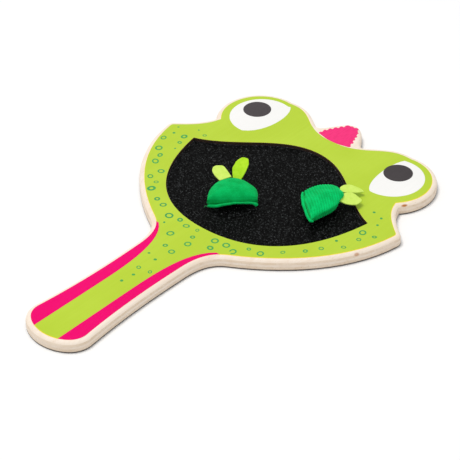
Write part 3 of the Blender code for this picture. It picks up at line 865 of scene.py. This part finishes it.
def build_spots():
    """The printed ring spots: rings of several sizes, some left open, and dots where they fade out."""
    chance = random.Random(7)
    models = {
        "ring": spot_model("ring", SPOT_LINE), "open_ring": spot_model("open_ring", SPOT_LINE, 60.0),
        "heavy_ring": spot_model("heavy_ring", SPOT_LINE * 1.35), "dot": spot_model("dot"),
    }
    copies = []
    for place in spot_places():
        fading = place.y < -46.0 or (abs(place.x) > 60.0 and place.y > 62.0)
        full = ["ring"] * 3 + ["heavy_ring"] * 2 + ["open_ring", "dot"]
        kind = chance.choice(["dot", "dot", "ring"] if fading else full)
        if kind == "dot":
            size = chance.uniform(0.30, 0.46)
        else:
            size = chance.uniform(0.64, 1.25) * (0.8 if fading else 1.0)
        spot = copy_of(models[kind], "spot")
        spot.location = (place.x / 1000, place.y / 1000, GREEN_TOP)
        spot.rotation_euler = (0.0, 0.0, chance.uniform(0.0, 6.28))
        spot.scale = (size, size * chance.uniform(0.78, 1.0), 1.0)
        copies.append(spot)
    spots = joined(copies, "ring_spots")
    throw_away(*models.values())
    settle(paint(spots, printed("spot_ink", ink(52, 158, 84), ink(74, 172, 84))))


def build_patch():
    """The black patch in the mouth, without its hooks: a woven backing, and the bead of its cut edge."""
    backing = flat_piece("patch_backing", mouth_edge(), BACKING_BOTTOM, BACKING_TOP, grow=-PATCH_CLEARANCE,
                         rounding=PATCH_ROUND, steps=20)
    woven = hook_fabric("woven_backing", ink(0, 0, 0), ink(22, 23, 23), ink(64, 66, 67))
    settle(paint(backing, woven), stands_for=("hook_patch",))
    rim = drawn_curve("patch_rim", mouth_edge(), 20)
    rim.data.fill_mode = "NONE"
    rim.data.bevel_depth = RIM_RADIUS
    rim.data.bevel_resolution = 1
    rim.data.offset = -RIM_INSET
    rim.location.z = BACKING_TOP
    bead = hook_fabric("cut_rim", ink(48, 48, 52), ink(70, 70, 76), ink(110, 110, 118))
    settle(paint(meshed(rim), bead))


def build_hooks():
    """The field of small bent hooks on the patch, laid as turned copies of one tuft."""
    hook = hook_model()
    chance = random.Random(11)
    hooks = []
    for row in range(HOOKS_IN_TUFT):
        for column in range(HOOKS_IN_TUFT):
            one = copy_of(hook, "hook")
            shift = (column - HOOKS_IN_TUFT // 2, row - HOOKS_IN_TUFT // 2)
            place = [HOOK_PITCH * (step + chance.uniform(-HOOK_SCATTER, HOOK_SCATTER)) for step in shift]
            one.location = place + [BACKING_TOP]
            one.rotation_euler = (0.0, 0.0, chance.uniform(0.0, 2 * math.pi))
            hooks.append(one)
    tuft = joined(hooks, "tuft")
    tufts = []
    width = HOOK_PITCH * HOOKS_IN_TUFT
    turn = Matrix.Rotation(PATCH_TURN, 3, "Z")
    for row in range(-TUFT_ROWS, TUFT_ROWS + 1):
        for column in range(-TUFT_COLUMNS, TUFT_COLUMNS + 1):
            one = copy_of(tuft, "tuft")
            one.location = turn @ Vector((column * width, row * width, 0.0)) + PATCH_MIDDLE
            one.rotation_euler = (0.0, 0.0, PATCH_TURN + chance.randrange(4) * math.pi / 2)
            tufts.append(one)
    size = len(hook.data.vertices)
    field = joined(tufts, "hook_field")
    throw_away(hook, tuft)
    trim_hooks(field, size)
    wire = hook_fabric("hook_wire", ink(0, 0, 0), ink(29, 31, 31), ink(122, 128, 128))
    settle(paint(field, wire))


def hook_model():
    """One hook of three-sided wire: a straight shank, then a bend that dips beside it and ends pointing up."""
    hook = disc("hook", 3, HOOK_WIRE)
    with editing(hook, "FACE"):
        bpy.ops.mesh.extrude_region_move(TRANSFORM_OT_translate={"value": (0.0, 0.0, HOOK_SHANK)})
        bpy.ops.mesh.spin(steps=3, angle=math.radians(205.0), center=(HOOK_BEND, 0.0, HOOK_SHANK),
                          axis=(0.0, 1.0, 0.0))
    return close_up(hook)


def trim_hooks(field, size):
    """Take off the hooks that stand outside the patch. Each hook has the same number of points."""
    mouth = points_on(mouth_edge(), 24)
    points = field.data.vertices
    outside = set()
    for first in range(0, len(points), size):
        root = Vector((points[first].co.x, points[first].co.y)) * 1000
        if not is_inside(root, mouth) or not clear_of(root, mouth, 0.75):
            outside.update(range(first, first + size))
    delete_where(field, "VERT", lambda point: point.index in outside)


# Bean bags

def bag_frame(label):
    """From the bag's own frame, its hem along X and its nose towards +Y, to its place on the patch."""
    bag = BAGS[label]
    return Matrix.Translation((*bag["place"], BAG_REST)) @ Matrix.Rotation(math.radians(bag["turn"]), 4, "Z")


def seam_height(y, length):
    share = min(max(y / length, 0.0), 1.0)
    return SEAM_HEIGHT_HEM + (SEAM_HEIGHT_NOSE - SEAM_HEIGHT_HEM) * share


def bag_slab(label):
    """The two panels as one closed skin, evenly meshed, in the bag's own frame and ten times its size."""
    to_own = Matrix.Scale(CLOTH_SCALE, 4) @ bag_frame(label).inverted()
    panels = []
    for panel in ("_top_panel", "_base_panel"):
        skin = bpy.data.objects.new(label + panel + "_copy", frame["nodes"][label + panel].data.copy())
        bpy.context.scene.collection.objects.link(skin)
        skin.data.transform(to_own)
        panels.append(skin)
    skin = joined(panels, label + "_skin")
    with editing(skin):
        bpy.ops.mesh.remove_doubles(threshold=0.00002)
    remesh(skin, CLOTH_VOXEL * CLOTH_SCALE)
    # The remesh gives the hollow a skin too. Only the outer one is kept, which holds the widest point
    widest = max(skin.data.vertices, key=lambda vertex: vertex.co.x).index
    with editing(skin):
        bpy.ops.mesh.select_all(action="DESELECT")
    skin.data.vertices[widest].select = True
    pick(skin)
    bpy.ops.object.mode_set(mode="EDIT")
    bpy.ops.mesh.select_linked()
    bpy.ops.mesh.select_all(action="INVERT")
    bpy.ops.mesh.delete(type="VERT")
    bpy.ops.object.mode_set(mode="OBJECT")
    return skin


def stuff(skin, length):
    """Blow the skin up from inside as cloth, held along its seam, and stop each point that moves too far."""
    with editing(skin):
        bpy.ops.transform.shrink_fatten(value=-STUFFING_SWELL * CLOTH_SCALE * 0.8)
    start = [vertex.co.copy() for vertex in skin.data.vertices]
    seam = [vertex.index for vertex in skin.data.vertices
            if abs(vertex.co.z / CLOTH_SCALE - seam_height(vertex.co.y / CLOTH_SCALE, length)) < SEAM_HELD
            and abs(vertex.normal.z) < 0.6]
    skin.vertex_groups.new(name="seam").add(seam, 1.0, "REPLACE")
    cloth = skin.modifiers.new("stuffed cloth", "CLOTH")
    cloth.settings.vertex_group_mass = "seam"
    cloth.settings.use_pressure = True
    cloth.settings.uniform_pressure_force = STUFFING_PRESSURE
    cloth.settings.effector_weights.gravity = 0.0
    for number in range(1, STUFFING_FRAMES + 1):
        bpy.context.scene.frame_set(number)
    pick(skin)
    bpy.ops.object.modifier_apply(modifier=cloth.name)
    bpy.context.scene.frame_set(1)
    most = STUFFING_SWELL * CLOTH_SCALE * 1.6
    for vertex, before in zip(skin.data.vertices, start):
        swell = vertex.co - before
        if swell.length > most:
            vertex.co = before + swell * (most / swell.length)


def extent(skin):
    """The skin's width and length."""
    places = [vertex.co for vertex in skin.data.vertices]
    return [max(place[axis] for place in places) - min(place[axis] for place in places) for axis in (0, 1)]


def push(skin, place, reach, move):
    """Move the skin near a place, less with the distance, as proportional editing does. In millimetres."""
    for vertex in skin.data.vertices:
        share = max(1.0 - (vertex.co * 1000 - Vector(place)).length / reach, 0.0)
        vertex.co += Vector(move) / 1000 * share ** 2 * (3.0 - 2.0 * share)


def square_up(skin, depth):
    """Fill out the side away from the head, so that it stands steep below a soft shoulder."""
    for vertex in skin.data.vertices:
        x, y, z = vertex.co
        outwards = Vector((vertex.normal.x, vertex.normal.y, 0.0))
        share = min(max(x / 0.006, 0.0), 1.0) * math.exp(-((z - 0.0081) / 0.0017) ** 2)
        share *= min(outwards.length * 1.6, 1.0)
        if outwards.length > 0.05:
            vertex.co += outwards.normalized() * depth * share


def sew(skin, length):
    """Draw the seam in between the panels, pucker it, and press the base flat where it rests."""
    for vertex in skin.data.vertices:
        x, y, z = vertex.co
        off_seam = abs(z - seam_height(y, length))
        if y > 0.0006 and off_seam < SEAM_REACH and abs(vertex.normal.z) < 0.85:
            inwards = Vector((-vertex.normal.x, -vertex.normal.y, 0.0))
            near = 1.0 - off_seam / SEAM_REACH
            depth = SEAM_DEPTH * near ** 1.5
            pucker = PUCKER_DEPTH * math.sin((x + y) * 2 * math.pi / PUCKER_PITCH) * near
            vertex.co += inwards * (depth + pucker)
        if vertex.co.z < 0.0002:
            vertex.co.z = max(vertex.co.z, 0.0) * 0.4


def rib(skin, depth):
    """Lay the fabric's own coordinates on the bag, and raise the knitted rows along them."""
    top = max(vertex.co.z for vertex in skin.data.vertices)
    fabric = {}
    for vertex in skin.data.vertices:
        x, y, z = vertex.co
        over_nose = max(vertex.normal.y, 0.0) ** 2
        fabric[vertex.index] = (x, y + (top - z) * over_nose)
    uv = skin.data.uv_layers.new(name="fabric")
    for loop in skin.data.loops:
        uv.data[loop.index].uv = fabric[loop.vertex_index]
    places = []
    for vertex in skin.data.vertices:
        row = math.cos(fabric[vertex.index][1] * 2 * math.pi / RIB_PITCH)
        drift = noise.noise(vertex.co * 900.0) * 0.00005
        places.append(vertex.co + vertex.normal * (depth * row + drift))
    for vertex, place in zip(skin.data.vertices, places):
        vertex.co = place


def build_bag(label, finish):
    bag = BAGS[label]
    skin = bag_slab(label)
    stuff(skin, bag["length"])
    skin.data.transform(Matrix.Scale(1 / CLOTH_SCALE, 4))
    low = min(vertex.co.z for vertex in skin.data.vertices)
    high = max(vertex.co.z for vertex in skin.data.vertices)
    for vertex in skin.data.vertices:
        vertex.co.z = (vertex.co.z - low) * BAG_HEIGHT / (high - low)
    before = extent(skin)
    use(skin, "SMOOTH", factor=0.5, iterations=12)
    after = extent(skin)
    skin.data.transform(Matrix.Diagonal((before[0] / after[0], before[1] / after[1], 1.0, 1.0)))
    for place, reach, move in bag["pushes"]:
        push(skin, place, reach, move)
    square_up(skin, bag["shoulder"])
    sew(skin, bag["length"])
    use(skin, "SUBSURF", levels=2, render_levels=2)
    rib(skin, bag["ribs"])
    skin.data.transform(bag_frame(label))
    skin.name = label + "_knit"
    smooth(close_up(skin))
    stood_for = [label + part for part in ("_top_panel", "_base_panel", "_filling")]
    settle(paint(skin, finish), label, stood_for)


def tube(name, places, radius, sizes=None, steps=4):
    """A round cord through the places, thicker or thinner at each as the sizes say, in the bag's own frame."""
    piece, spline = new_curve(name, "3D", steps, len(places))
    piece.data.bevel_depth = radius
    piece.data.bevel_resolution = 2
    piece.data.use_fill_caps = True
    for index, point in enumerate(spline.bezier_points):
        point.co = places[index]
        point.radius = sizes[index] if sizes else 1.0
        point.handle_left_type = point.handle_right_type = "AUTO"
    return meshed(piece)


def build_hem(label, knitted, sewn):
    """The rolled hem along the bag's straight side, with the overlock thread that closes it."""
    places, sizes = [], []
    for share, height, out, size in HEMS[label]:
        places.append((share * BAG_WIDTH, -0.0008 - out, height))
        sizes.append(size)
    roll = remesh(tube(label + "_hem_roll", places, HEM_RADIUS, sizes, 6), HEM_VOXEL)
    uv = roll.data.uv_layers.new(name="fabric")
    for loop in roll.data.loops:
        uv.data[loop.index].uv = roll.data.vertices[loop.vertex_index].co.xz
    for vertex in roll.data.vertices:
        fuzz = noise.noise(vertex.co * 1400.0) * 0.00012 + noise.noise(vertex.co * 620.0) * 0.00022
        vertex.co += vertex.normal * fuzz
    roll.data.transform(bag_frame(label))
    settle(paint(smooth(roll), knitted), label, (label + "_hem",))
    stitches = list(BAGS[label]["tail"])
    for index in range(2 * OVERLOCK_TURNS + 1):
        share = index / (2 * OVERLOCK_TURNS) * 0.94 - 0.47
        spot = share * (len(places) - 1) + (len(places) - 1) / 2
        first = min(int(spot), len(places) - 2)
        along = Vector(places[first]).lerp(Vector(places[first + 1]), spot - first)
        up = OVERLOCK_RISE if index % 2 else -OVERLOCK_RISE
        stitches.append(along + Vector((0.0, -0.0003, up)))
    overlock = tube(label + "_overlock", stitches, OVERLOCK_RADIUS)
    overlock.data.transform(bag_frame(label))
    settle(paint(smooth(overlock), sewn), label)


def leaf_edge(outline):
    """Smooth strokes through the points of a cut leaf, closed by a straight one along its root."""
    points = [Vector(point) for point in outline]
    strokes = []
    for index, point in enumerate(points):
        following = points[(index + 1) % len(points)]
        if index == len(points) - 1:
            strokes += straight(point, following)
            continue
        before = points[index - 1] if index else point
        beyond = points[index + 2] if index + 2 < len(points) else following
        strokes += stroke(point, (following - before) / 10, (point - beyond) / 10, following)
    return strokes


def build_leaf(name, leaf, finish):
    """One hand-cut felt leaf, slightly cupped and curled, on the axis that it bends about."""
    half = FELT_THICKNESS / 2
    piece = flat_piece(name + "_felt", leaf_edge(leaf["outline"]), -half, half, rounding=FELT_ROUND, steps=6)
    remesh(piece, FELT_VOXEL)
    length = max(Vector(point).y for point in leaf["outline"]) / 1000
    for vertex in piece.data.vertices:
        x, y, z = vertex.co
        away = max(y, 0.0) / length
        fluff = noise.noise(vertex.co * 1300.0) * 0.00007
        vertex.co = (x, y, z + leaf["curl"] * away ** 2 + leaf["cup"] * (x / 0.005) ** 2 * min(away * 2, 1.0))
        vertex.co += vertex.normal * fluff
    joint = next(one for one in frame["joints"] if one["name"] == name + "_bend")
    turn = math.radians(BAGS[leaf["bag"]]["turn"] - leaf["heading"])
    pitch, twist = math.radians(leaf["pitch"]), math.radians(leaf["twist"])
    piece.data.transform(Matrix.Translation(joint["pos_m"]) @ Matrix.Rotation(turn, 4, "Z")
                         @ Matrix.Rotation(pitch, 4, "X") @ Matrix.Rotation(twist, 4, "Y"))
    settle(paint(smooth(piece), finish), name + "_body", (name,))


# Stage

def build_stage():
    """A white table that keeps the bat's shadow, one large soft lamp on the left, and a white room."""
    bpy.ops.object.select_all(action="DESELECT")
    bpy.ops.mesh.primitive_plane_add(size=8.0, location=(0.0, 0.0, -0.00002))
    table = bpy.context.object
    table.name = "table"
    white = bpy.data.materials.new("white_table")
    white.use_nodes = True
    level = node(white, "CombineXYZ", [seen(white, 0.86, 1.03)] * 3).outputs[0]
    matt = node(white, "BsdfDiffuse", (level,)).outputs[0]
    white.node_tree.links.new(matt, white.node_tree.nodes["Material Output"].inputs["Surface"])
    paint(table, white)
    world = bpy.data.worlds.new("white_room")
    bpy.context.scene.world = world
    world.use_nodes = True
    background = world.node_tree.nodes["Background"]
    background.inputs["Color"].default_value = (1.0, 1.0, 1.0, 1.0)
    world.node_tree.links.new(seen(world, 0.58, 1.0), background.inputs["Strength"])
    bpy.ops.object.light_add(type="AREA", location=LAMP_PLACE)
    lamp = bpy.context.object
    lamp.name = "soft_lamp"
    lamp.data.shape = "SQUARE"
    lamp.data.size = LAMP_SIZE
    lamp.data.energy = LAMP_POWER
    lamp.rotation_euler = Vector(LAMP_PLACE).to_track_quat("Z", "Y").to_euler()


def seen(owner, unseen, shown):
    """One strength for what the camera or a reflection sees, and another for the light that it sheds."""
    rays = node(owner, "LightPath").outputs
    looking = maths(owner, "MAXIMUM", rays["Is Camera Ray"], rays["Is Glossy Ray"])
    looking = maths(owner, "MAXIMUM", looking, rays["Is Transmission Ray"])
    return sum_of(owner, times(owner, looking, shown - unseen), unseen)


def stand_camera():
    """The photograph's view, from the front right and above."""
    azimuth, elevation, roll = math.radians(42.134), math.radians(36.454), math.radians(-0.58)
    level = math.cos(elevation)
    back = Vector((math.sin(azimuth) * level, -math.cos(azimuth) * level, math.sin(elevation)))
    bpy.ops.object.camera_add()
    camera = bpy.context.object
    camera.data.lens = CAMERA_LENS
    camera.data.sensor_width = 36.0
    camera.data.clip_start = 0.05
    camera.matrix_world = (
        Matrix.Translation(CAMERA_AIM + back * CAMERA_DISTANCE)
        @ Matrix.Rotation(azimuth, 4, "Z") @ Matrix.Rotation(math.pi / 2 - elevation, 4, "X")
        @ Matrix.Rotation(roll, 4, "Z")
    )
    bpy.context.scene.camera = camera
    bpy.context.scene.view_settings.view_transform = "Standard"


def main():
    build_board()
    build_print()
    build_spots()
    build_patch()
    build_hooks()
    knitted = {
        "bag_left": knit("fine_knit", ink(8, 204, 108), ink(0, 164, 76)),
        "bag_right": knit("ribbed_knit", ink(4, 220, 122), ink(0, 172, 82), 0.11),
    }
    sewn = thread("green_thread", ink(20, 196, 98), ink(0, 150, 66))
    felts = {
        "yellow_felt": felt("yellow_felt", ink(221, 248, 118), ink(208, 240, 100)),
        "lime_felt": felt("lime_felt", ink(198, 245, 56), ink(182, 233, 38)),
    }
    for label in BAGS:
        build_bag(label, knitted[label])
        build_hem(label, knitted[label], sewn)
    for name, leaf in LEAVES.items():
        build_leaf(name, leaf, felts[leaf["finish"]])
    paint(frame["nodes"]["patch_adhesive"], dried_glue())
    build_stage()
    stand_camera()


main()
